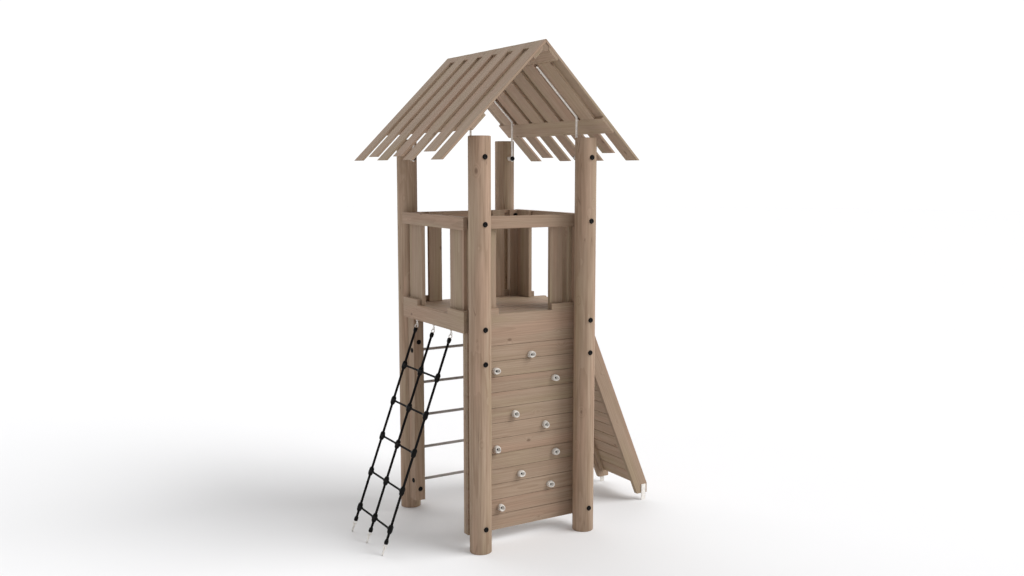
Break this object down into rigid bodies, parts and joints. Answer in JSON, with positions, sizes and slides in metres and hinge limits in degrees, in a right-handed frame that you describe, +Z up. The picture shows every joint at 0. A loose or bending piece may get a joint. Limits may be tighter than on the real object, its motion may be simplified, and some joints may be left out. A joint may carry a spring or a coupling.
{
  "type": "climbing tower",
  "caption": "Wooden play tower with round posts, a raised railed deck under a pitched slat roof, a climbing wall, a rope net, a ladder and a ramp.",
  "frame": {"origin": "on the ground, at the middle of the whole outline from the net's anchors to the ramp's toe", "axes": "+Z up, -Y towards the climbing wall, +Y towards the ladder, -X towards the rope net, +X towards the ramp"},
  "size_m": [2.1252, 1.302, 3.2009],
  "materials": {
    "post_wood": "planed, weathered grey-brown",
    "board_wood": "planed, weathered grey-brown",
    "roof_wood": "sawn, weathered grey-brown",
    "galvanised_steel": "galvanised, dull",
    "dark_steel": "dark, satin",
    "net_rope": "black sheathed rope with black moulded connectors",
    "hold_resin": "off-white, sandy"
  },
  "bodies": {
    "root": {"baluster_back_left": "board_wood", "baluster_back_right": "board_wood", "baluster_front_left": "board_wood", "baluster_front_right": "board_wood", "baluster_left_back": "board_wood", "baluster_left_front": "board_wood", "baluster_right_back": "board_wood", "baluster_right_front": "board_wood", "climbing_wall": "board_wood", "deck": "board_wood", "fascia_back": "board_wood", "fascia_front": "board_wood", "fascia_left": "board_wood", "fascia_right": "board_wood", "ground_anchor_1": "galvanised_steel", "ground_anchor_2": "galvanised_steel", "ground_anchor_3": "galvanised_steel", "hold_01": "hold_resin", "hold_02": "hold_resin", "hold_03": "hold_resin", "hold_04": "hold_resin", "hold_05": "hold_resin", "hold_06": "hold_resin", "hold_07": "hold_resin", "hold_08": "hold_resin", "hold_09": "hold_resin", "hold_10": "hold_resin", "ladder_stile_left": "board_wood", "ladder_stile_right": "board_wood", "post_left_back": "post_wood", "post_left_front": "post_wood", "post_right_back": "post_wood", "post_right_front": "post_wood", "ramp_boards": "board_wood", "ramp_foot_back": "galvanised_steel", "ramp_foot_front": "galvanised_steel", "ramp_stringer_back": "board_wood", "ramp_stringer_front": "board_wood", "ridge_beam": "roof_wood", "roof_arm_left_back": "galvanised_steel", "roof_arm_left_front": "galvanised_steel", "roof_arm_right_back": "galvanised_steel", "roof_arm_right_front": "galvanised_steel", "roof_slope_left": "roof_wood", "roof_slope_right": "roof_wood", "rope_net": "net_rope", "rung_1": "dark_steel", "rung_2": "dark_steel", "rung_3": "dark_steel", "rung_4": "dark_steel", "rung_5": "dark_steel", "top_rail_back": "board_wood", "top_rail_front": "board_wood", "top_rail_left": "board_wood", "top_rail_right": "board_wood", "upper_stile_left_back": "board_wood", "upper_stile_left_front": "board_wood", "upper_stile_right_back": "board_wood", "upper_stile_right_front": "board_wood"}
  },
  "joints": []
}
